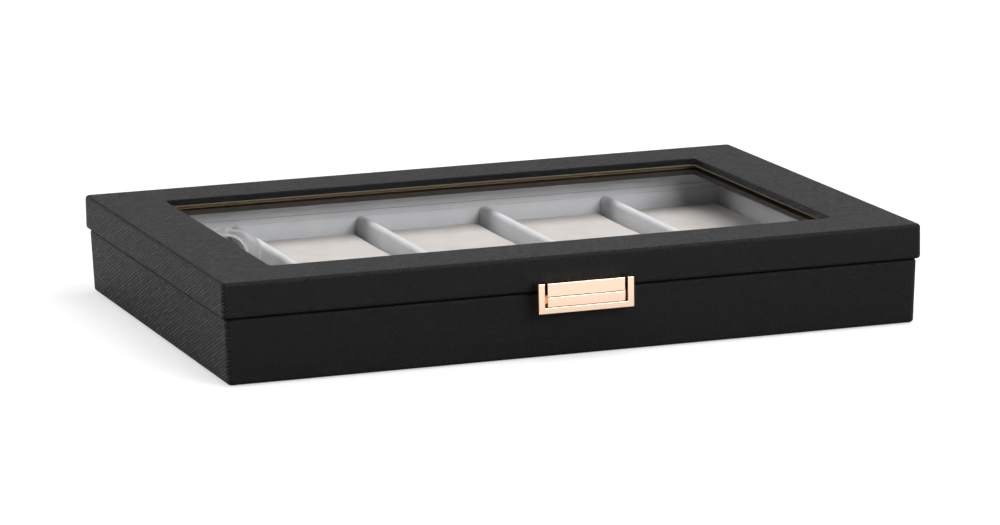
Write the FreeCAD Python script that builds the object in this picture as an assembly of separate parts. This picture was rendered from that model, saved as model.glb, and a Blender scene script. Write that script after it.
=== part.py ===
"""Glass-lidded watch box: a slim two-part case of board covered in leatherette.

Millimetres, +Z up, +X to the right along the front, +Y to the back.
The origin is the middle of the felt that the box stands on.
"""
import FreeCAD, Part
import os

V = FreeCAD.Vector

# ---- overall sizes
box_w = 360.0  # lid, left to right
box_d = 252.0  # lid, front to back
box_h = 50.6
seam_z = 33.1  # middle of the parting line between base and lid
parting_gap = 0.2
corner_r = 3.0  # upright corners
edge_r = 1.7  # all edges that run round the box
base_inset = 1.6  # the lid stands out over the base by this much
base_lean = 1.1  # the base walls lean in by this much down to the foot

# ---- walls and coverings
wrap_t = 0.8  # leatherette
side_wall = 10.4  # outside of the lid to the face of the lining, left and right
end_wall = 12.8  # the same at the front and back
liner_t = 1.2  # suede on card
felt_t = 0.6
felt_inset = 8.0
wrap_turn = 12.0  # leatherette turned in under the base
floor_t = 3.0

# ---- lid frame and glass
frame_w = 34.1  # outside of the lid to the window
window_r = 2.3
window_edge_r = 0.7
glass_recess = 3.7  # lid top to glass top
glass_t = 2.5
glass_room = 0.5  # round the pane
rebate_w = 6.0
tape_t = 0.5
tape_proud = 0.4
retainer_t = 2.5
retainer_room = 0.1
top_liner_t = 0.8
top_liner_back = 3.0  # the lining stops this far from the window

# ---- tray of cells
columns = 5
insert_t = 0.8
insert_floor_t = 1.0
divider_t = 5.0
divider_top = 30.2
divider_round = 2.2
divider_room = 0.1
lap_room = 0.05  # each side of a half-lap
pad_top = 22.0
pad_room = 0.4  # round each pad
pad_lift = 0.3  # under each pad that lifts out
pad_length = 82.0
pad_roll_r = 15.0
pad_round_r = 2.5

# ---- clear strap ring
ring_r = 11.0
ring_t = 1.4
ring_width = 12.0
ring_arm = 12.0
ring_tongue_r = 4.0
ring_right = 10.0  # from the middle of the left column
ring_behind = 26.5  # from the divider along the middle
ring_turn = 48.0  # degrees from facing the front

# ---- latch
latch_w = 49.0
latch_top = 38.6
latch_bottom = 23.9
latch_proud = 7.5  # in front of the lid
latch_arm = 3.2
latch_foot = 2.9
latch_side_gap = 1.4
latch_gap = 0.3
latch_edge_r = 0.25
latch_plate_t = 2.0
latch_plate_in = 2.0  # how far the plate may reach behind the lid's front to meet the base
latch_clear = 0.4  # between the frame's arms and the lid
catch_bottom = 32.2
button_t = 4.0
button_travel = 1.5
stem_r = 1.5
stem_room = 0.1
stem_x = 13.0
stem_end = 3.4  # how far a stem reaches behind the base's front face
tongue_w = 12.0
tongue_t = 0.9
tongue_length = 4.0
tongue_room = 0.3
tongue_gap = 0.1  # between the button and the tongue
nose_w = 5.0
nose_h = 1.4
spring_half = 1.2
spring_tall = 1.6
spring_t = 0.2
spring_pitch = 0.9
spring_folds = 5
spring_bore_r = 1.7
latch_screw_z = 25.4
latch_screw_in = 4.0  # from each end of the frame
catch_screw_z = 36.9
catch_screw_x = 10.0
face_screw_head_r = 1.9
face_screw_head_t = 0.9
face_screw_r = 1.0
face_screw_l = 11.5

# ---- hinges
hinge_x = 110.0
hinge_l = 30.0
axis_out = 0.6  # hinge axis behind the lid's back face
knuckle_r = 2.2
knuckle_gap = 0.15
middle_knuckle = 10.0
pin_r = 1.05
pin_room = 0.05
pin_head_r = 1.6
pin_head_t = 0.5
knuckle_room = 0.4
leaf_t = 0.8
leaf_y = 9.0  # leaf, from the axis inwards
leaf_room = 0.1
screw_head_r = 1.6
screw_head_t = 0.6
screw_r = 0.8
screw_l = 6.0
screw_dx = 9.0
screw_y = 5.6  # from the axis inwards
slot_w = 0.4
slot_l = 4.0
slot_t = 0.25

through = 20.0  # longer than any cut that goes right through

# ---- worked out
base_top = seam_z - parting_gap / 2
lid_bottom = seam_z + parting_gap / 2
floor_z = felt_t + wrap_t
floor_top = floor_z + floor_t
insert_z = floor_top + insert_floor_t
glass_top = box_h - glass_recess
glass_bottom = glass_top - glass_t
frame_bottom = glass_bottom - retainer_t
tape_top = glass_top + tape_t
room_x = box_w / 2 - side_wall
room_y = box_d / 2 - end_wall
board_x = room_x + liner_t
board_y = room_y + liner_t
cell_x = room_x - insert_t
cell_y = room_y - insert_t
window_x = box_w / 2 - frame_w
window_y = box_d / 2 - frame_w
cell_w = (2 * cell_x - (columns - 1) * divider_t) / columns
cell_pitch = cell_w + divider_t
lid_front = -box_d / 2
latch_front = lid_front - latch_proud
axis_y = box_d / 2 + axis_out
lap_z = (insert_z + divider_top) / 2


def block(half_x, half_y, r, z0, z1):
    """An upright block about the origin, with rounded upright corners."""
    solid = Part.makeBox(2 * half_x, 2 * half_y, z1 - z0, V(-half_x, -half_y, z0))
    if r <= 0:
        return solid
    upright = [e for e in solid.Edges if abs(e.Vertexes[0].Z - e.Vertexes[1].Z) > 1e-6]
    return solid.makeFillet(r, upright)


def brick(x0, x1, y0, y1, z0, z1):
    return Part.makeBox(x1 - x0, y1 - y0, z1 - z0, V(x0, y0, z0))


def outline(half_x, half_y, r, z):
    """A rounded rectangle as a wire."""
    face = min(block(half_x, half_y, r, z, z + 1).Faces, key=lambda f: f.CenterOfMass.z)
    return face.OuterWire


def lean_at(z):
    """How far the base walls have leaned in at a height."""
    return base_lean * (base_top - z) / (base_top - felt_t)


def leaning(inset, r, z0, z1):
    """The base's outer shape, or the shape a covering's thickness inside it."""
    wires = []
    for z in (z0, z1):
        back = base_inset + inset + lean_at(z)
        wires.append(outline(box_w / 2 - back, box_d / 2 - back, r, z))
    return Part.makeLoft(wires, True, True)


def edges_at(solid, heights, inside=None):
    """Edges that lie level at one of the heights, or only those within a half width."""
    found = []
    for edge in solid.Edges:
        box = edge.BoundBox
        level = box.ZLength < 1e-4 and any(abs(box.ZMin - z) < 1e-4 for z in heights)
        if level and (inside is None or max(abs(box.XMin), abs(box.XMax)) < inside):
            found.append(edge)
    return found


def edges_facing(solid, y):
    """Edges that lie in the upright plane at one depth."""
    return [
        e for e in solid.Edges
        if e.BoundBox.YLength < 1e-4 and abs(e.BoundBox.YMin - y) < 1e-4]


def quarter(side, z0, z1):
    """A wedge that takes one mitred side out of a ring."""
    x = box_w / 2 + through
    y = box_d / 2 + through
    points = {
        "front": [(-x, -y), (x, -y), (x - y, 0), (y - x, 0)],
        "back": [(x, y), (-x, y), (y - x, 0), (x - y, 0)],
        "left": [(-x, y), (-x, -y), (y - x, 0)],
        "right": [(x, -y), (x, y), (x - y, 0)],
    }[side]
    corners = [V(px, py, z0) for px, py in points]
    wire = Part.makePolygon(corners + corners[:1])
    return Part.Face(wire).extrude(V(0, 0, z1 - z0))


SIDES = ("front", "back", "left", "right")


def four_strips(ring):
    """The same ring as four mitred solids."""
    box = ring.BoundBox
    parts = [ring.common(quarter(s, box.ZMin - 1, box.ZMax + 1)) for s in SIDES]
    return Part.makeCompound([p.Solids[0] for p in parts])


def rod(r, start, direction, length):
    return Part.makeCylinder(r, length, start, direction)


# ---- hinges

def hinge_reliefs():
    """The space that the knuckles and leaves take out of the boards and wraps."""
    cuts = []
    for side in (-1, 1):
        x0 = side * hinge_x - hinge_l / 2
        x1 = x0 + hinge_l
        over = pin_head_t + knuckle_room
        start = V(x0 - over, axis_y, seam_z)
        cuts.append(rod(knuckle_r + knuckle_room, start, V(1, 0, 0), hinge_l + 2 * over))
        cuts.append(brick(
            x0 - leaf_room, x1 + leaf_room, axis_y - leaf_y - leaf_room, axis_y,
            base_top - leaf_t, lid_bottom + leaf_t))
    return Part.makeCompound(cuts)


def hinge_screws(up):
    """Four small countersunk screws, driven up into the lid or down into the base."""
    way = 1 if up else -1
    face = lid_bottom if up else base_top
    screws = []
    for side in (-1, 1):
        for dx in (-screw_dx, screw_dx):
            at = V(side * hinge_x + dx, axis_y - screw_y, face)
            head = Part.makeCone(screw_head_r, screw_r, screw_head_t, at, V(0, 0, way))
            shank = rod(screw_r, at, V(0, 0, way), screw_l)
            slot = brick(
                at.x - slot_w / 2, at.x + slot_w / 2, at.y - slot_l / 2, at.y + slot_l / 2,
                face - slot_t, face + slot_t)
            screws.append(head.fuse(shank).removeSplitter().cut(slot))
    return Part.makeCompound(screws)


def hinge_leaf(side, up):
    """One leaf with its knuckles. The lid's leaf has the middle knuckle."""
    x = side * hinge_x
    half = hinge_l / 2
    middle = middle_knuckle / 2
    if up:
        spans = [(x - middle + knuckle_gap, x + middle - knuckle_gap)]
        z0 = lid_bottom
        bore = pin_r + pin_room
    else:
        spans = [(x - half, x - middle), (x + middle, x + half)]
        z0 = base_top - leaf_t
        bore = pin_r
    leaf = brick(x - half, x + half, axis_y - leaf_y, axis_y, z0, z0 + leaf_t)
    clear = rod(knuckle_r + knuckle_room / 2, V(x - half - 1, axis_y, seam_z), V(1, 0, 0), hinge_l + 2)
    leaf = leaf.cut(clear)
    for x0, x1 in spans:
        leaf = leaf.fuse(rod(knuckle_r, V(x0, axis_y, seam_z), V(1, 0, 0), x1 - x0))
        leaf = leaf.fuse(brick(x0, x1, axis_y - knuckle_r - 1, axis_y, z0, z0 + leaf_t))
    leaf = leaf.cut(rod(bore, V(x - half - 1, axis_y, seam_z), V(1, 0, 0), hinge_l + 2))
    return leaf.removeSplitter().cut(hinge_screws(up))


def hinge_pin(side):
    x0 = side * hinge_x - hinge_l / 2
    pin = rod(pin_r, V(x0, axis_y, seam_z), V(1, 0, 0), hinge_l)
    for x in (x0 - pin_head_t, x0 + hinge_l):
        pin = pin.fuse(rod(pin_head_r, V(x, axis_y, seam_z), V(1, 0, 0), pin_head_t))
    return pin.removeSplitter()


# ---- latch

def face_screws(z, y0, xs):
    """Two pan-head screws from inside a front board into the latch."""
    screws = []
    for x in xs:
        at = V(x, y0, z)
        head = rod(face_screw_head_r, at, V(0, -1, 0), face_screw_head_t)
        shank = rod(face_screw_r, at, V(0, -1, 0), face_screw_l)
        screws.append(head.fuse(shank).removeSplitter())
    return Part.makeCompound(screws)


def latch_screws():
    x = latch_w / 2 - latch_screw_in
    return face_screws(latch_screw_z, -board_y, (-x, x))


def catch_screws():
    return face_screws(catch_screw_z, -board_y, (-catch_screw_x, catch_screw_x))


def latch_frame():
    """The U-shaped frame and the plate behind the button, on the base."""
    half = latch_w / 2
    inner = half - latch_arm
    foot = latch_bottom + latch_foot
    frame = brick(-half, half, latch_front, lid_front - latch_clear, latch_bottom, latch_top)
    frame = frame.cut(brick(-inner, inner, latch_front - 1, 0, foot, latch_top + 1))
    frame = frame.makeFillet(latch_edge_r, edges_facing(frame, latch_front))
    plate_top = catch_bottom - latch_gap
    plate = brick(
        -half, half, lid_front - latch_plate_t, lid_front + base_inset + latch_plate_in,
        latch_bottom, plate_top)
    plate = plate.cut(leaning(0, corner_r, felt_t, base_top))
    frame = frame.fuse(plate).removeSplitter()
    for x in (-stem_x, stem_x):
        at = V(x, latch_front, button_middle())
        frame = frame.cut(rod(stem_r + stem_room, at, V(0, 1, 0), through))
    return frame.cut(latch_screws())


def button_middle():
    return (latch_bottom + latch_foot + catch_bottom) / 2


def button_half():
    return latch_w / 2 - latch_arm - latch_side_gap


def tongue_front():
    return latch_front + button_t + tongue_gap


def latch_button():
    """The bar that is pressed, with its two stems and the nose for the catch."""
    z0 = latch_bottom + latch_foot + latch_gap
    z1 = catch_bottom - latch_gap
    half = button_half()
    bar = brick(-half, half, latch_front, latch_front + button_t, z0, z1)
    bar = bar.makeFillet(latch_edge_r, edges_facing(bar, latch_front))
    pocket_half = tongue_w / 2 + tongue_room
    pocket_depth = button_travel + tongue_room
    back = latch_front + button_t
    bar = bar.cut(brick(-pocket_half, pocket_half, back - pocket_depth, back + 1, z0 - 1, z1 + 1))
    middle = button_middle()
    nose_reach = pocket_depth - tongue_room
    bar = bar.fuse(brick(
        -nose_w / 2, nose_w / 2, back - pocket_depth, back - pocket_depth + nose_reach,
        middle - nose_h / 2, middle + nose_h / 2))
    stem_l = base_front_y() + stem_end - back
    for x in (-stem_x, stem_x):
        bar = bar.fuse(rod(stem_r, V(x, back, middle), V(0, 1, 0), stem_l))
    return bar.removeSplitter()


def base_front_y():
    """The base's front face at the height of the button."""
    return lid_front + base_inset + lean_at(button_middle())


def stem_bores():
    """Blind bores in the base's front for the stems, with the spring behind each."""
    cuts = []
    for x in (-stem_x, stem_x):
        at = V(x, base_front_y() - through, button_middle())
        deep = through + stem_end + spring_pitch * spring_folds + spring_t
        cuts.append(rod(spring_bore_r, at, V(0, 1, 0), deep))
    return Part.makeCompound(cuts)


def latch_springs():
    """Two small zigzag strip springs that push the button back out."""
    springs = []
    thick = V(0, spring_t, 0)
    for x in (-stem_x, stem_x):
        folds = [
            V(x + (spring_half if i % 2 else -spring_half), spring_pitch * i, 0)
            for i in range(spring_folds + 1)]
        strip = None
        for start, end in zip(folds, folds[1:]):
            wire = Part.makePolygon([start, end, end + thick, start + thick, start])
            leaf = Part.Face(wire).extrude(V(0, 0, spring_tall))
            strip = leaf if strip is None else strip.fuse(leaf)
        strip.translate(V(0, base_front_y() + stem_end, button_middle() - spring_tall / 2))
        springs.append(strip.removeSplitter())
    return Part.makeCompound(springs)


def latch_catch():
    """The upper bar, on the lid, with the tongue that hangs behind the button."""
    half = button_half()
    bar = brick(-half, half, latch_front, lid_front, catch_bottom, latch_top)
    bar = bar.makeFillet(latch_edge_r, edges_facing(bar, latch_front))
    y0 = tongue_front()
    tongue = brick(
        -tongue_w / 2, tongue_w / 2, y0, y0 + tongue_t, catch_bottom - tongue_length, catch_bottom + 1)
    middle = button_middle()
    hole_half = nose_w / 2 + tongue_room
    window = brick(-hole_half, hole_half, y0 - 1, y0 + tongue_t + 1, middle - nose_h, middle + nose_h)
    return bar.fuse(tongue.cut(window)).removeSplitter().cut(catch_screws())


# ---- base

def base_boards():
    core = leaning(wrap_t, corner_r - wrap_t, floor_z, base_top - wrap_t)
    ring = core.cut(block(board_x, board_y, 0, felt_t, base_top))
    ring = ring.cut(hinge_reliefs()).cut(stem_bores()).cut(latch_screws()).cut(hinge_screws(False))
    return {
        "base_%s_board" % side: ring.common(quarter(side, 0, box_h))
        for side in SIDES
    }


def base_wrap():
    """Leatherette over the rim, down the outside and turned in under the walls."""
    outer = leaning(0, corner_r, felt_t, base_top)
    outer = outer.makeFillet(edge_r, edges_at(outer, (felt_t, base_top)))
    wrap = outer.cut(leaning(wrap_t, corner_r - wrap_t, floor_z, base_top - wrap_t))
    wrap = wrap.cut(block(board_x, board_y, 0, floor_z, base_top + 1))
    turn = base_inset + base_lean + wrap_turn
    wrap = wrap.cut(block(box_w / 2 - turn, box_d / 2 - turn, 0, 0, floor_z))
    return wrap.cut(hinge_reliefs()).cut(stem_bores()).cut(latch_screws())


def base_felt():
    foot = base_inset + base_lean
    wide = block(box_w / 2 - foot - felt_inset, box_d / 2 - foot - felt_inset, corner_r, 0, felt_t)
    inner = foot + wrap_turn
    return wide.fuse(block(box_w / 2 - inner, box_d / 2 - inner, 0, felt_t, floor_z)).removeSplitter()


def base_floor_board():
    return block(board_x, board_y, 0, floor_z, floor_top)


def base_wall_liner():
    ring = block(board_x, board_y, 0, floor_top, base_top)
    ring = ring.cut(block(room_x, room_y, 0, floor_top - 1, base_top + 1))
    return four_strips(ring)


def insert_floor():
    return block(room_x, room_y, 0, floor_top, insert_z)


def insert_rim():
    ring = block(room_x, room_y, 0, insert_z, divider_top)
    ring = ring.cut(block(cell_x, cell_y, 0, insert_z - 1, divider_top + 1))
    return four_strips(ring)


def divider_x(i):
    return (i - (columns - 2) / 2) * cell_pitch


def soft_top(solid, long_axis):
    """Round the two long top edges of a suede-covered divider."""
    chosen = [
        e for e in edges_at(solid, (divider_top,))
        if (e.BoundBox.XLength if long_axis == "x" else e.BoundBox.YLength) > divider_t * 2]
    return solid.makeFillet(divider_round, chosen)


def divider(i):
    """A divider that runs front to back, with a half-lap from above in the middle."""
    x = divider_x(i)
    half = divider_t / 2
    length = cell_y - divider_room
    board = soft_top(brick(x - half, x + half, -length, length, insert_z, divider_top), "y")
    lap = half + lap_room
    return board.cut(brick(x - half - 1, x + half + 1, -lap, lap, lap_z, divider_top + 1))


def cross_divider():
    """The divider along the middle, with half-laps from below."""
    half = divider_t / 2
    length = cell_x - divider_room
    board = soft_top(brick(-length, length, -half, half, insert_z, divider_top), "x")
    lap = half + lap_room
    for i in range(columns - 1):
        x = divider_x(i)
        board = board.cut(brick(x - lap, x + lap, -half - 1, half + 1, insert_z - 1, lap_z))
    return board


def pad(column, back_y, length, bottom):
    """A flat watch pad against the back of its cell, rolled down at its front end."""
    middle = (column - (columns - 1) / 2) * cell_pitch
    half = cell_w / 2 - pad_room
    y1 = back_y - pad_room
    y0 = y1 - length
    solid = brick(middle - half, middle + half, y0, y1, bottom, pad_top)
    front = [e for e in edges_facing(solid, y0) if e.BoundBox.ZMin > pad_top - 1e-4]
    return solid.makeFillet(pad_roll_r, front)


def long_pad():
    """The pad in the left column's back cell fills it, and carries the strap ring."""
    back = cell_y
    front = divider_t / 2 + pad_room
    middle = -(columns - 1) / 2 * cell_pitch
    half = cell_w / 2 - pad_room
    solid = brick(middle - half, middle + half, front, back - pad_room, insert_z, pad_top)
    return solid.makeFillet(pad_round_r, edges_at(solid, (pad_top,)))


def display_ring():
    """A clear C-shaped strip with rounded tongues, open to the left."""
    def arms(r):
        top = V(0, 0, r)
        low = V(0, 0, -r)
        return top, low, Part.Arc(top, V(r, 0, 0), low).toShape()
    top, low, outside = arms(ring_r)
    top_in, low_in, inside = arms(ring_r - ring_t)
    left = V(-ring_arm, 0, 0)
    edges = [
        Part.makeLine(top + left, top), outside, Part.makeLine(low, low + left),
        Part.makeLine(low + left, low_in + left), Part.makeLine(low_in + left, low_in), inside,
        Part.makeLine(top_in, top_in + left), Part.makeLine(top_in + left, top + left)]
    face = Part.Face(Part.Wire(Part.__sortEdges__(edges)))
    strip = face.extrude(V(0, ring_width, 0))
    strip.translate(V(0, -ring_width / 2, 0))
    ends = [
        e for e in strip.Edges
        if abs(e.BoundBox.XMax + ring_arm) < 1e-4 and abs(e.BoundBox.ZLength - ring_t) < 1e-3]
    strip = strip.makeFillet(ring_tongue_r, ends)
    strip.rotate(V(0, 0, 0), V(0, 0, 1), -ring_turn)
    column_x = -(columns - 1) / 2 * cell_pitch
    strip.translate(V(column_x + ring_right, divider_t / 2 + ring_behind, pad_top + ring_r))
    return strip


# ---- lid

def lid_side_boards():
    ring = block(box_w / 2 - wrap_t, box_d / 2 - wrap_t, corner_r - wrap_t, lid_bottom + wrap_t, frame_bottom)
    ring = ring.cut(block(board_x, board_y, 0, lid_bottom, frame_bottom + 1))
    ring = ring.cut(hinge_reliefs()).cut(hinge_screws(True)).cut(catch_screws())
    return {
        "lid_%s_board" % side: ring.common(quarter(side, 0, box_h))
        for side in SIDES
    }


def lid_top_boards():
    """The window frame, rebated underneath for the glass."""
    ring = block(box_w / 2 - wrap_t, box_d / 2 - wrap_t, corner_r - wrap_t, frame_bottom, box_h - wrap_t)
    ring = ring.cut(block(window_x + wrap_t, window_y + wrap_t, window_r + wrap_t, tape_top - 1, box_h))
    ring = ring.cut(block(window_x + rebate_w, window_y + rebate_w, 0, frame_bottom - 1, tape_top))
    return {
        "lid_top_%s_board" % side: ring.common(quarter(side, 0, box_h))
        for side in SIDES
    }


def lid_wrap():
    """Leatherette over the lid, turned down the window and in under the walls."""
    outer = block(box_w / 2, box_d / 2, corner_r, lid_bottom, box_h)
    outer = outer.makeFillet(edge_r, edges_at(outer, (lid_bottom, box_h)))
    core = block(
        box_w / 2 - wrap_t, box_d / 2 - wrap_t, corner_r - wrap_t, lid_bottom + wrap_t, box_h - wrap_t)
    wrap = outer.cut(core)
    wrap = wrap.cut(block(board_x, board_y, 0, lid_bottom - 1, lid_bottom + wrap_t))
    tube = block(window_x + wrap_t, window_y + wrap_t, window_r + wrap_t, tape_top, box_h - wrap_t)
    wrap = wrap.fuse(tube)
    wrap = wrap.cut(block(window_x, window_y, window_r, tape_top - 1, box_h + 1)).removeSplitter()
    wrap = wrap.makeFillet(window_edge_r, edges_at(wrap, (box_h,), window_x + 1))
    return wrap.cut(hinge_reliefs()).cut(catch_screws())


def glass_pane():
    half_x = window_x + rebate_w - glass_room
    half_y = window_y + rebate_w - glass_room
    return block(half_x, half_y, 0, glass_bottom, glass_top)


def glazing_tape():
    half_x = window_x + rebate_w - glass_room
    half_y = window_y + rebate_w - glass_room
    ring = block(half_x, half_y, 0, glass_top, tape_top)
    inner = block(window_x - tape_proud, window_y - tape_proud, window_r - tape_proud, glass_top - 1, box_h)
    return four_strips(ring.cut(inner))


def glass_retainer():
    out = rebate_w - retainer_room
    ring = block(window_x + out, window_y + out, 0, frame_bottom, glass_bottom)
    ring = ring.cut(block(window_x, window_y, window_r, frame_bottom - 1, glass_bottom + 1))
    return four_strips(ring)


def lid_wall_liner():
    ring = block(board_x, board_y, 0, lid_bottom, frame_bottom - top_liner_t)
    ring = ring.cut(block(room_x, room_y, 0, lid_bottom - 1, frame_bottom))
    return four_strips(ring)


def lid_top_liner():
    back = top_liner_back
    ring = block(board_x, board_y, 0, frame_bottom - top_liner_t, frame_bottom)
    ring = ring.cut(block(window_x + back, window_y + back, 0, frame_bottom - 2, frame_bottom + 1))
    return four_strips(ring)


# ---- all nodes

nodes = {}
nodes.update(base_boards())
nodes["base_floor_board"] = base_floor_board()
nodes["base_wrap"] = base_wrap()
nodes["base_felt"] = base_felt()
nodes["base_wall_liner"] = base_wall_liner()
nodes["insert_floor"] = insert_floor()
nodes["insert_rim"] = insert_rim()
for i in range(columns - 1):
    nodes["divider_%d" % (i + 1)] = divider(i)
nodes["cross_divider"] = cross_divider()
nodes["latch_frame"] = latch_frame()
nodes["latch_springs"] = latch_springs()
nodes["latch_screws"] = latch_screws()
nodes["latch_button"] = latch_button()
nodes["latch_catch"] = latch_catch()
nodes["catch_screws"] = catch_screws()
for name, side in (("left", -1), ("right", 1)):
    nodes["hinge_%s_base_leaf" % name] = hinge_leaf(side, False)
    nodes["hinge_%s_lid_leaf" % name] = hinge_leaf(side, True)
    nodes["hinge_%s_pin" % name] = hinge_pin(side)
nodes["hinge_base_screws"] = hinge_screws(False)
nodes["hinge_lid_screws"] = hinge_screws(True)
nodes["pad_1_back"] = long_pad()
for column in range(columns):
    if column > 0:
        nodes["pad_%d_back" % (column + 1)] = pad(column, cell_y, pad_length, insert_z + pad_lift)
    nodes["pad_%d_front" % (column + 1)] = pad(column, -divider_t / 2, pad_length, insert_z + pad_lift)
nodes["display_ring"] = display_ring()
nodes.update(lid_side_boards())
nodes.update(lid_top_boards())
nodes["lid_wrap"] = lid_wrap()
nodes["lid_wall_liner"] = lid_wall_liner()
nodes["lid_top_liner"] = lid_top_liner()
nodes["glass_pane"] = glass_pane()
nodes["glazing_tape"] = glazing_tape()
nodes["glass_retainer"] = glass_retainer()

os.makedirs("parts", exist_ok=True)
for name, shape in nodes.items():
    if not shape.isValid():
        print("not valid:", name)
    shape.exportStep("parts/%s.step" % name)
print(len(nodes), "nodes")
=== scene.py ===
import math
import bmesh
import bpy
from mathutils import Matrix, Vector, noise


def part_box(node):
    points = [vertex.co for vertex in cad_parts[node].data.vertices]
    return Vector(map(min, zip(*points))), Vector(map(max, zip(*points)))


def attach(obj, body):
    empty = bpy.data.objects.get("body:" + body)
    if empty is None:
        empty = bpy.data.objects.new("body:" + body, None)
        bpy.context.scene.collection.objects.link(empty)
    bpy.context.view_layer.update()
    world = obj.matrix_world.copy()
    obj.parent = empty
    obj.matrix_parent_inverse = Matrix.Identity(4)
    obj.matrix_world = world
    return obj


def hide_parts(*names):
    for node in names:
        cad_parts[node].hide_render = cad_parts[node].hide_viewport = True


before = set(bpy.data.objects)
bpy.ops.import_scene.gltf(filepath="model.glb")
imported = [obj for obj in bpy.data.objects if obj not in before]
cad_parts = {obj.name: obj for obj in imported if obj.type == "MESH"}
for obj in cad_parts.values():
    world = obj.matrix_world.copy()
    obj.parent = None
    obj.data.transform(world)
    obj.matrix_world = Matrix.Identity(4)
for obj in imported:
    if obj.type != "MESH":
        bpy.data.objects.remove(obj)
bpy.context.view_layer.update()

mm = 0.001

# ---- Wall and frame boards
# Mitred strips of medium-density fibreboard, glued up into the base walls, the lid walls
# and the window frame. They are sawn and left raw, because the covering hides them.


def linear(hex_colour):
    """An sRGB hex colour as Blender's linear values."""
    parts = [int(hex_colour[i:i + 2], 16) / 255 for i in (1, 3, 5)]
    return [c / 12.92 if c <= 0.04045 else ((c + 0.055) / 1.055) ** 2.4 for c in parts] + [1.0]


def add(tree, kind, inputs=None, **settings):
    """Add one shader node with its settings; inputs holds values or other nodes' outputs."""
    made = tree.nodes.new("ShaderNode" + kind)
    for name, value in settings.items():
        setattr(made, name, value)
    for socket, value in (inputs or {}).items():
        if isinstance(value, bpy.types.NodeSocket):
            tree.links.new(value, made.inputs[socket])
        else:
            made.inputs[socket].default_value = value
    return made


def start_finish(name, **shader_values):
    """A new material with an empty tree but for its shader and output."""
    finish = bpy.data.materials.new(name)
    finish.use_nodes = True
    tree = finish.node_tree
    tree.nodes.clear()
    values = {key.replace("_", " "): value for key, value in shader_values.items()}
    shader = add(tree, "BsdfPrincipled", values)
    add(tree, "OutputMaterial", {"Surface": shader.outputs[0]})
    return finish, tree, shader


def mix_colours(tree, share, one, two):
    """A blend of two colours by a 0 to 1 value."""
    made = add(tree, "Mix", {0: share, 6: one, 7: two}, data_type="RGBA")
    return made.outputs[2]


def spread(tree, value, low, high, to_low, to_high):
    """A value moved from one range to another, held at the ends."""
    made = add(tree, "MapRange", {0: value, 1: low, 2: high, 3: to_low, 4: to_high})
    return made.outputs[0]


def grain(tree, size, detail=2.0, stretch=(1, 1, 1), roughness=0.5):
    """Noise whose blobs are about size across, on the object's own coordinates."""
    place = add(tree, "TexCoord").outputs["Object"]
    scaled = add(tree, "VectorMath", {0: place, 1: stretch}, operation="MULTIPLY")
    made = add(tree, "TexNoise", {
        "Vector": scaled.outputs[0], "Scale": 1 / size, "Detail": detail, "Roughness": roughness})
    return made.outputs[0]


def raise_grain(tree, shader, height, depth, strength=1.0):
    """Bump the shader by a height from 0 to 1 that stands for a real depth."""
    made = add(tree, "Bump", {"Height": height, "Distance": depth, "Strength": strength})
    tree.links.new(made.outputs[0], shader.inputs["Normal"])


def dress(finish, *names):
    """Give CAD nodes a finish through their own material slots."""
    for name in names:
        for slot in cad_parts[name].material_slots:
            slot.material = finish


# fibreboard: sawn, with fibres 0.3 mm thick and 4 mm long; looks like pale felted paper
fibreboard, tree, shader = start_finish("raw fibreboard", Roughness=0.85)
fibres = grain(tree, 4 * mm, 4.0, (1, 1, 6))
flecks = grain(tree, 0.6 * mm, 2.0)
pale = mix_colours(tree, fibres, linear("#c9ac82"), linear("#a8885f"))
spotted = mix_colours(tree, spread(tree, flecks, 0.6, 0.75, 0.0, 0.6), pale, linear("#6e5338"))
tree.links.new(spotted, shader.inputs["Base Color"])
raise_grain(tree, shader, flecks, 0.15 * mm)
dress(
    fibreboard,
    *["base_%s_board" % side for side in ("front", "back", "left", "right")],
    *["lid_%s_board" % side for side in ("front", "back", "left", "right")],
    *["lid_top_%s_board" % side for side in ("front", "back", "left", "right")])

# ---- Floor board
# A 3 mm hardboard panel let in between the base walls. Its pressed brown face is smooth,
# with darker fibres in it.
hardboard, tree, shader = start_finish("pressed hardboard", Roughness=0.6)
pressed = grain(tree, 3 * mm, 5.0)
tree.links.new(
    mix_colours(tree, pressed, linear("#7d5a3a"), linear("#4f3622")), shader.inputs["Base Color"])
raise_grain(tree, shader, grain(tree, 0.5 * mm), 0.08 * mm)
dress(hardboard, "base_floor_board")

# ---- Leatherette covers
# Black PVC-coated cloth, embossed with a fine crossed grain and glued round the boards of
# the base and the lid, with every edge turned over to the inside.

# embossed leatherette: satin ridges that cross at right angles and fade in and out along
# their length. The real ridges lie about 0.8 mm apart; they are drawn 1.3 mm apart, and
# coarser on the two ends, so that they show. On the two ends their tops are also painted
# paler, a painted highlight for the glints that the side light raises there.
ridge_apart = 1.3 * mm
ridge_long = 9 * mm
ridge_depth = 0.24 * mm
end_coarser = 2.5
pebble = 0.45 * mm
seam_shade_core = 0.4 * mm  # the painted shade line at the seam, also made dull: full up to here, gone at its edge
seam_shade_edge = 1.0 * mm
groove = 0.1  # the grain's height in its grooves and on its crossings
crossing = 1.3
leather, tree, shader = start_finish(
    "black embossed leatherette", Specular_IOR_Level=0.11, IOR=1.5)
coords = add(tree, "TexCoord")
place = add(tree, "SeparateXYZ", {0: coords.outputs["Object"]})
facing = add(tree, "VectorMath", {0: coords.outputs["Normal"]}, operation="ABSOLUTE")
facing = add(tree, "SeparateXYZ", {0: facing.outputs[0]})
half_turned = 0.7  # the part of a normal above which a face counts as facing that way
is_end = add(tree, "Math", {0: facing.outputs[0], 1: half_turned}, operation="GREATER_THAN")
is_level = add(tree, "Math", {0: facing.outputs[2], 1: half_turned}, operation="GREATER_THAN")
end_across = add(tree, "Math", {0: place.outputs[1], 1: end_coarser}, operation="DIVIDE")
across = add(
    tree, "Mix", {0: is_end.outputs[0], 2: place.outputs[0], 3: end_across.outputs[0]})
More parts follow.
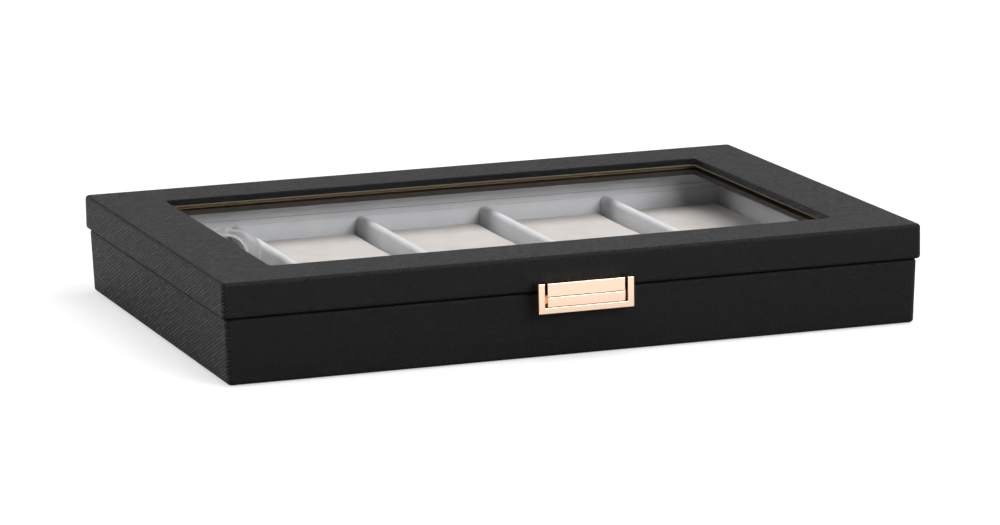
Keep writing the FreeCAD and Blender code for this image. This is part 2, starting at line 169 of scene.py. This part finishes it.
along = add(
    tree, "Mix", {0: is_level.outputs[0], 2: place.outputs[2], 3: place.outputs[1]})
rising = add(tree, "Math", {0: across.outputs[0], 1: along.outputs[0]}, operation="ADD")
falling = add(tree, "Math", {0: across.outputs[0], 1: along.outputs[0]}, operation="SUBTRACT")
least_ridge = spread(tree, is_end.outputs[0], 0.0, 1.0, 0.6, 0.05)
ridges = []
for number, (short, long) in enumerate(((rising, falling), (falling, rising))):
    turns = add(
        tree, "Math", {0: short.outputs[0], 1: math.sqrt(2) * math.pi / ridge_apart},
        operation="MULTIPLY")
    wave = add(tree, "Math", {0: turns.outputs[0]}, operation="SINE").outputs[0]
    flat = add(tree, "CombineXYZ", {0: short.outputs[0], 1: long.outputs[0], 2: float(number)})
    scaled = add(
        tree, "VectorMath", {0: flat.outputs[0], 1: (1 / ridge_apart, 1 / ridge_long, 1)},
        operation="MULTIPLY")
    fading = add(tree, "TexNoise", {"Vector": scaled.outputs[0], "Scale": 1.0, "Detail": 1.0})
    ridge = add(tree, "Math", {
        0: spread(tree, wave, 0.0, 1.0, 0.0, 1.0),
        1: spread(tree, fading.outputs[0], 0.38, 0.62, least_ridge, 1.0)}, operation="MULTIPLY")
    ridges.append(ridge.outputs[0])
crossed = add(tree, "Math", {0: ridges[0], 1: ridges[1]}, operation="MAXIMUM").outputs[0]
pebbled = spread(tree, grain(tree, pebble, 3.0), 0.3, 0.7, 0.0, 0.35)
height = add(tree, "Math", {0: crossed, 1: pebbled}, operation="ADD").outputs[0]
patches = grain(tree, 22 * mm, 3.0)
# painted highlight: on the two end faces the ridge tops are painted paler, for the glints of the
# side light
ridge_tops_with_painted_highlight = mix_colours(tree, is_end.outputs[0], linear("#222325"), linear("#46474a"))
skin = mix_colours(
    tree, spread(tree, height, groove, crossing, 0.0, 1.0), linear("#030303"), ridge_tops_with_painted_highlight)
worn = mix_colours(tree, spread(tree, patches, 0.35, 0.7, 0.0, 0.15), skin, linear("#101112"))
# painted shade: a near-black line along the seam where lid and base meet, where the leather is
# also made fully rough
seam_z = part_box("lid_wrap")[0].z
seam_gap = add(tree, "Math", {0: place.outputs[2], 1: seam_z}, operation="SUBTRACT")
seam_gap = add(tree, "Math", {0: seam_gap.outputs[0]}, operation="ABSOLUTE")
seam_painted_shade = spread(tree, seam_gap.outputs[0], seam_shade_core, seam_shade_edge, 1.0, 0.0)
# painted shade: the colour goes near black along the seam
tree.links.new(
    mix_colours(tree, seam_painted_shade, worn, linear("#010101")), shader.inputs["Base Color"])
gloss = spread(tree, height, groove, crossing, 0.38, 0.22)
dulled = add(tree, "Mix", {0: seam_painted_shade, 2: gloss, 3: 1.0})
tree.links.new(dulled.outputs[0], shader.inputs["Roughness"])
raise_grain(tree, shader, height, ridge_depth)
dress(leather, "base_wrap", "lid_wrap")

# ---- Felt underside
# One sheet of black pressed felt under the floor board; it covers the turned-in edges and
# is what the box stands on.
felt, tree, shader = start_finish(
    "black pressed felt", Roughness=1.0, Sheen_Weight=0.4, Sheen_Roughness=0.6,
    Specular_IOR_Level=0.1)
tangle = grain(tree, 0.8 * mm, 5.0, roughness=0.7)
tree.links.new(
    mix_colours(tree, tangle, linear("#0f0f10"), linear("#2c2c2e")), shader.inputs["Base Color"])
raise_grain(tree, shader, tangle, 0.25 * mm)
dress(felt, "base_felt")

# ---- Suede linings and dividers
# Light grey suede cloth glued on card: the walls of base and lid, the underside of the
# window frame, the floor and rim of the insert, and the dividers, which are half-lapped.

# suede cloth: a short brushed pile, so it is matt, with a faint sheen towards the edges
# and soft patches where the pile lies another way
lining, tree, shader = start_finish(
    "light grey suede cloth", Roughness=0.95, Sheen_Weight=0.25, Sheen_Roughness=0.5,
    Specular_IOR_Level=0.12)
pile = grain(tree, 0.45 * mm, 4.0, roughness=0.65)
brushed = grain(tree, 14 * mm, 3.0, (1, 1, 0.6))
ground = mix_colours(
    tree, spread(tree, brushed, 0.35, 0.65, 0.0, 1.0), linear("#d1d3d6"), linear("#d8d9db"))
tree.links.new(
    mix_colours(tree, spread(tree, pile, 0.3, 0.7, 0.35, 0.0), ground, linear("#bdbec1")),
    shader.inputs["Base Color"])
raise_grain(tree, shader, pile, 0.18 * mm, 0.8)
dress(
    lining, "base_wall_liner", "insert_floor", "insert_rim", "cross_divider",
    "lid_wall_liner", "lid_top_liner", *["divider_%d" % i for i in range(1, 5)])

# ---- Watch pads
# Ten slabs of foam covered in off-white suede cloth. Nine lie loose in their cells, with
# the front end rolled down for a strap; the one under the strap ring fills its cell.
pad_start_in = 1.0 * mm  # the foam starts this much inside its space and swells into it
pad_cap = 1.6 * mm  # how far a point may move
pad_voxel = 2.2 * mm
pad_roll = 14.0 * mm  # radius of the rolled front end
pad_soft_edge = 1.5 * mm
pad_pressure = 4.0
pad_edge_rise = 1.08  # the foam is firm, so the edges stand nearly as high as the middle
pad_flat_from = 0.97  # share of the height above which the crown is pressed down
pad_crown_kept = 0.27
pad_unevenness = 0.25 * mm  # between one pad and the next
pad_proud = 0.8 * mm  # how far the cloth stands above the pad's own space
pad_frames = 20


def pad_outline(low, high, roll):
    """The pad's side view: flat below, rounded at the back and rolled down in front."""
    points = [(high.y, low.z), (low.y, low.z)]
    steps = 8
    radius = min(roll, high.z - low.z - mm)
    for i in range(steps + 1):
        turn = math.pi / 2 * i / steps
        points.append((
            low.y + radius - radius * math.cos(turn), high.z - radius + radius * math.sin(turn)))
    points.append((high.y - pad_soft_edge, high.z))
    points.append((high.y, high.z - pad_soft_edge))
    return points


def cut_pad(name, low, high, roll):
    """A closed pad blank made from the side view."""
    mesh = bpy.data.meshes.new(name)
    shape = bmesh.new()
    sides = []
    for x in (low.x, high.x):
        sides.append([shape.verts.new((x, y, z)) for y, z in pad_outline(low, high, roll)])
    count = len(sides[0])
    shape.faces.new(sides[0])
    shape.faces.new(reversed(sides[1]))
    for i in range(count):
        after = (i + 1) % count
        shape.faces.new((sides[0][after], sides[0][i], sides[1][i], sides[1][after]))
    bmesh.ops.recalc_face_normals(shape, faces=shape.faces)
    shape.to_mesh(mesh)
    shape.free()
    blank = bpy.data.objects.new(name, mesh)
    bpy.context.scene.collection.objects.link(blank)
    return blank


def applied(blank):
    """The object's mesh with its modifiers, as new mesh data."""
    view = bpy.context.evaluated_depsgraph_get()
    return bpy.data.meshes.new_from_object(blank.evaluated_get(view))


def flattened(share):
    """Lower the crown of a pad, so that its edges come up nearly as high as its middle."""
    raised = share * pad_edge_rise
    return min(raised, pad_flat_from) + max(raised - pad_flat_from, 0) * pad_crown_kept


def stuffed(name, low, high, roll):
    """Blow a pad blank up as cloth, size it to its space and return the mesh."""
    inside = Vector((pad_start_in,) * 3)
    blank = cut_pad(name, low + inside, high - inside, roll)
    remesh = blank.modifiers.new("even faces", "REMESH")
    remesh.mode = "VOXEL"
    remesh.voxel_size = pad_voxel
    blank.data = applied(blank)
    blank.modifiers.clear()
    before = [v.co.copy() for v in blank.data.vertices]
    cloth = blank.modifiers.new("stuffing", "CLOTH")
    cloth.settings.use_pressure = True
    cloth.settings.uniform_pressure_force = pad_pressure
    cloth.settings.effector_weights.gravity = 0
    cloth.settings.quality = 5
    for step in range(1, pad_frames + 1):
        bpy.context.scene.frame_set(step)
    blown = applied(blank)
    blank.modifiers.clear()
    blank.data = blown
    bpy.context.scene.frame_set(1)
    for vertex, was in zip(blank.data.vertices, before):
        move = vertex.co - was
        if move.length > pad_cap:
            vertex.co = was + move * (pad_cap / move.length)
    mesh = blank.data
    bpy.data.objects.remove(blank)
    smooth = bmesh.new()
    smooth.from_mesh(mesh)
    bmesh.ops.smooth_vert(
        smooth, verts=smooth.verts, factor=0.5, use_axis_x=True, use_axis_y=True,
        use_axis_z=True)
    # the cell holds the pad, so its outside is as large as its space, but for the top
    room = (high - low) / 2
    for axis in range(3):
        along_axis = [vertex.co[axis] for vertex in smooth.verts]
        least, most = min(along_axis), max(along_axis)
        for vertex in smooth.verts:
            share = (vertex.co[axis] - least) / (most - least)
            if axis == 2:
                share = flattened(share)
            vertex.co[axis] = room[axis] * (2 * share - 1)
            if axis == 2:
                vertex.co.z += pad_proud * share
    smooth.to_mesh(mesh)
    smooth.free()
    mesh.name = name
    return mesh


# off-white suede cloth: the same short pile as the linings, but a warmer colour
pad_cloth, tree, shader = start_finish(
    "off-white suede cloth", Roughness=0.95, Sheen_Weight=0.25, Sheen_Roughness=0.5,
    Specular_IOR_Level=0.12)
pile = grain(tree, 0.5 * mm, 4.0, roughness=0.65)
brushed = grain(tree, 12 * mm, 3.0)
ground = mix_colours(
    tree, spread(tree, brushed, 0.35, 0.65, 0.0, 1.0), linear("#c2bcb7"), linear("#c9c3bf"))
tree.links.new(
    mix_colours(tree, spread(tree, pile, 0.3, 0.7, 0.3, 0.0), ground, linear("#b3b0ab")),
    shader.inputs["Base Color"])
raise_grain(tree, shader, pile, 0.18 * mm, 0.8)


def lay_pad(mesh, node, body, phase):
    """Put one pad in the space of its CAD node, a little different from its neighbours."""
    low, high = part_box(node)
    middle = (low + high) / 2
    own = mesh.copy()
    own.name = node + "_cushion"
    for vertex in own.vertices:
        sag = noise.noise((vertex.co + Vector((phase, 0, 0))) / (26 * mm))
        if vertex.co.z > 0:
            vertex.co.z -= pad_unevenness * (0.5 + 0.5 * sag)
        vertex.co += middle
    own.materials.clear()
    own.materials.append(pad_cloth)
    for face in own.polygons:
        face.use_smooth = True
    pad = bpy.data.objects.new(node + "_cushion", own)
    bpy.context.scene.collection.objects.link(pad)
    pad.modifiers.new("soft faces", "SUBSURF").levels = 1
    pad.modifiers["soft faces"].render_levels = 1
    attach(pad, body)
    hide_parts(node)


rolled_pad = stuffed("rolled_pad", *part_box("pad_2_back"), pad_roll)
long_pad = stuffed("long_pad", *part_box("pad_1_back"), pad_soft_edge)
lay_pad(long_pad, "pad_1_back", "base", 0.0)
for column in range(1, 6):
    for row in ("back", "front"):
        if (column, row) != (1, "back"):
            node_name = "pad_%d_%s" % (column, row)
            lay_pad(rolled_pad, node_name, node_name, column * 0.3 + (row == "front") * 0.15)

# ---- Strap ring
# A C-shaped band of clear extruded plastic, 1.4 mm thick, stood on the pad in the left
# column to hold a strap open. Its tongues are cut round.

# clear PVC: glossy and nearly clear, with a slight grey haze from the extrusion; its cut
# edges are matt and gather light, so they look white
ring_turn = math.radians(48)
cut_axis = (math.sin(ring_turn), math.cos(ring_turn), 0.0)
clear_band, tree, shader = start_finish("clear extruded plastic", IOR=1.45)
towards_cut = add(
    tree, "VectorMath", {0: add(tree, "TexCoord").outputs["Normal"], 1: cut_axis},
    operation="DOT_PRODUCT")
edge_part = add(tree, "Math", {0: towards_cut.outputs["Value"]}, operation="ABSOLUTE").outputs[0]
on_cut = spread(tree, edge_part, 0.8, 0.95, 0.0, 1.0)
haze = grain(tree, 6 * mm, 2.0, (0.2, 0.2, 3))
hazy = spread(tree, haze, 0.3, 0.7, 0.05, 0.15)
rough = add(tree, "Mix", {0: on_cut, 2: hazy, 3: 0.6})
tree.links.new(rough.outputs[0], shader.inputs["Roughness"])
tree.links.new(spread(tree, on_cut, 0.0, 1.0, 0.4, 0.95), shader.inputs["Alpha"])
tinted = mix_colours(
    tree, spread(tree, haze, 0.3, 0.7, 0.0, 1.0), linear("#a5a6a9"), linear("#afb0b2"))
tree.links.new(
    mix_colours(tree, on_cut, tinted, linear("#fdfdfd")), shader.inputs["Base Color"])
dress(clear_band, "display_ring")

# ---- Latch
# Cast zinc, polished and plated in rose gold: the U-shaped frame and the push bar on the
# base, and the upper bar with its tongue on the lid.

# rose gold plating: a mirror with a faint haze left by the buffing wheel
rose_gold, tree, shader = start_finish("polished rose gold plating", Metallic=1.0)
buffed = grain(tree, 1.5 * mm, 3.0, (0.25, 1, 1))
tree.links.new(
    mix_colours(tree, buffed, linear("#ffe1c8"), linear("#fcd9be")), shader.inputs["Base Color"])
tree.links.new(spread(tree, buffed, 0.3, 0.7, 0.05, 0.1), shader.inputs["Roughness"])
raise_grain(tree, shader, buffed, 0.01 * mm, 0.3)
dress(rose_gold, "latch_frame", "latch_button", "latch_catch")

# ---- Hinges
# Two pressed brass hinges let into the back edges, satin plated, each on a riveted pin.
hinge_brass, tree, shader = start_finish("satin plated brass", Metallic=1.0)
drawn = grain(tree, 0.4 * mm, 3.0, (0.1, 1, 1))
tree.links.new(
    mix_colours(tree, drawn, linear("#d9b07a"), linear("#c59a63")), shader.inputs["Base Color"])
tree.links.new(spread(tree, drawn, 0.3, 0.7, 0.25, 0.42), shader.inputs["Roughness"])
raise_grain(tree, shader, drawn, 0.02 * mm, 0.5)
dress(
    hinge_brass, "hinge_left_base_leaf", "hinge_left_lid_leaf", "hinge_left_pin",
    "hinge_right_base_leaf", "hinge_right_lid_leaf", "hinge_right_pin")

# ---- Screws and springs
# Zinc-plated steel: small countersunk hinge screws, pan-head latch screws, and the two
# folded strip springs behind the push bar.
zinc_steel, tree, shader = start_finish("zinc plated steel", Metallic=1.0)
spangle = grain(tree, 0.7 * mm, 2.0)
tree.links.new(
    mix_colours(tree, spangle, linear("#c8cbcf"), linear("#a9adb3")), shader.inputs["Base Color"])
tree.links.new(spread(tree, spangle, 0.3, 0.7, 0.25, 0.45), shader.inputs["Roughness"])
dress(
    zinc_steel, "hinge_base_screws", "hinge_lid_screws", "latch_screws", "catch_screws",
    "latch_springs")

# ---- Glass pane
# A 2.5 mm float-glass pane laid in the rebate under the window frame. It is pressed up
# against the glazing tape and held by the retaining strips.

# float glass: clear, a little green, with the faintest wipe marks and weak reflections.
# Each face holds back one twentieth of the light, and the rest passes straight through.
glass, tree, shader = start_finish(
    "clear float glass", Base_Color=linear("#0c110f"), IOR=1.5, Alpha=0.05)
wiped = grain(tree, 60 * mm, 2.0, (1, 0.3, 1))
tree.links.new(spread(tree, wiped, 0.5, 0.8, 0.0, 0.02), shader.inputs["Roughness"])
dress(glass, "glass_pane")

# ---- Glazing tape
# Khaki foam tape between the frame and the glass, stuck on all four sides. It is matt and
# full of small cells, and its cut edge shows as a thin line round the window.
tape, tree, shader = start_finish("khaki foam tape", Roughness=0.9, Specular_IOR_Level=0.2)
cells = grain(tree, 0.4 * mm, 3.0)
tree.links.new(
    mix_colours(tree, cells, linear("#6f6a58"), linear("#57523f")), shader.inputs["Base Color"])
raise_grain(tree, shader, cells, 0.1 * mm)
dress(tape, "glazing_tape")

# ---- Retaining strips
# Dark brown painted strips pinned under the glass on all four sides. The brush leaves
# faint streaks along them.
retainer, tree, shader = start_finish(
    "dark brown painted strip", Roughness=0.55, Specular_IOR_Level=0.3)
streaks = grain(tree, 1.2 * mm, 4.0, (0.15, 1, 1))
tree.links.new(
    mix_colours(tree, streaks, linear("#302922"), linear("#201b15")), shader.inputs["Base Color"])
raise_grain(tree, shader, streaks, 0.06 * mm)
dress(retainer, "glass_retainer")

# ---- Table
# A seamless sheet of white paper. Only the soft shadow of the box shows on it, and it
# lights the box from below.
table_half = 2.0
# what the camera sees: paper that takes the shadow, with a glow that grows to plain white
shadow_paper = (0.45, 0.45, 0.45, 1)
shadow_reach = 0.35  # distance from the middle up to which the glow stays least
white_from = 1.0
least_glow = 0.55
# what lights the box: duller paper beside and behind it than in front of it
dull_paper = (0.4, 0.4, 0.4, 1)
bright_paper = (0.66, 0.66, 0.66, 1)
bright_from = -0.28  # places along the depth between which one turns into the other
dull_from = -0.16
table_mesh = bpy.data.meshes.new("table_sweep")
table_mesh.from_pydata(
    [(-table_half, -table_half, 0), (table_half, -table_half, 0),
     (table_half, table_half, 0), (-table_half, table_half, 0)], [], [(0, 1, 2, 3)])
table = bpy.data.objects.new("table_sweep", table_mesh)
bpy.context.scene.collection.objects.link(table)
sweep, tree, shader = start_finish("white paper sweep", Roughness=0.9, Specular_IOR_Level=0.0)
from_middle = add(
    tree, "VectorMath", {0: add(tree, "TexCoord").outputs["Object"]}, operation="LENGTH")
glow = spread(tree, from_middle.outputs["Value"], shadow_reach, white_from, least_glow, 1.0)
shown = add(tree, "BsdfDiffuse", {"Color": shadow_paper})
lift = add(tree, "Emission", {"Color": (1, 1, 1, 1), "Strength": glow})
bright = add(tree, "AddShader", {0: shown.outputs[0], 1: lift.outputs[0]})
front_part = add(tree, "SeparateXYZ", {0: add(tree, "TexCoord").outputs["Object"]}).outputs[1]
paper = mix_colours(
    tree, spread(tree, front_part, bright_from, dull_from, 1.0, 0.0), dull_paper, bright_paper)
bounce = add(tree, "BsdfDiffuse", {"Color": paper})
ray = add(tree, "LightPath")
table_mix = add(tree, "MixShader", {
    0: ray.outputs["Is Camera Ray"], 1: bounce.outputs[0], 2: bright.outputs[0]})
tree.links.new(table_mix.outputs[0], tree.nodes["Material Output"].inputs["Surface"])
tree.nodes.remove(shader)
table_mesh.materials.append(sweep)

# ---- Studio light
# A white sweep all round up to a low height, dim walls above it, a large soft box overhead
# and smaller ones to the left and in front.
sweep_top = 0.085  # sines of the heights at which the white sweep ends and the walls are dim
walls_start = 0.15
sweep_light = 0.95
walls_light = 0.05
world = bpy.data.worlds.new("studio")
bpy.context.scene.world = world
world.use_nodes = True
tree = world.node_tree
tree.nodes.clear()
up_part = add(tree, "SeparateXYZ", {0: add(tree, "TexCoord").outputs["Generated"]}).outputs[2]
dimming = spread(tree, up_part, sweep_top, walls_start, sweep_light, walls_light)
fill = add(tree, "Background", {"Color": (1, 1, 1, 1), "Strength": dimming})
white = add(tree, "Background", {"Color": (1, 1, 1, 1), "Strength": 1.0})
ray = add(tree, "LightPath")
backdrop = add(tree, "MixShader", {
    0: ray.outputs["Is Camera Ray"], 1: fill.outputs[0], 2: white.outputs[0]})
add(tree, "OutputWorld", {"Surface": backdrop.outputs[0]})


def soft_box(name, place, aim, width, height, power):
    """A rectangular lamp that faces a point."""
    lamp = bpy.data.lights.new(name, "AREA")
    lamp.shape = "RECTANGLE"
    lamp.size = width
    lamp.size_y = height
    lamp.energy = power
    holder = bpy.data.objects.new(name, lamp)
    bpy.context.scene.collection.objects.link(holder)
    holder.location = place
    holder.rotation_euler = (Vector(aim) - Vector(place)).to_track_quat("-Z", "Y").to_euler()
    holder.visible_camera = False


soft_box("overhead_soft_box", (0.3, -0.1, 1.4), (0.3, -0.1, 0), 1.8, 1.5, 28.5)
soft_box("left_soft_box", (-1.5, 0.2, 0.9), (0, 0, 0.03), 1.2, 0.7, 10)
soft_box("front_soft_box", (0.5, -1.5, 0.75), (0, 0, 0), 1.0, 0.6, 24)

# ---- Camera
# A long lens about 2.5 m away, in front of the box, to its left and a little above it.
camera_data = bpy.data.cameras.new("camera")
camera_data.lens = 176.29
camera_data.sensor_width = 36.0
camera_data.clip_start = 0.05
camera = bpy.data.objects.new("camera", camera_data)
bpy.context.scene.collection.objects.link(camera)
right = Vector((0.941893, -0.335502, -0.016580)).normalized()
up = Vector((0.081432, 0.180172, 0.980258)).normalized()
back = right.cross(up).normalized()
turned = Matrix((right, up, back)).transposed().to_4x4()
camera.matrix_world = Matrix.Translation((-0.80585, -2.29521, 0.51181)) @ turned
bpy.context.scene.camera = camera
bpy.context.scene.view_settings.view_transform = "Standard"
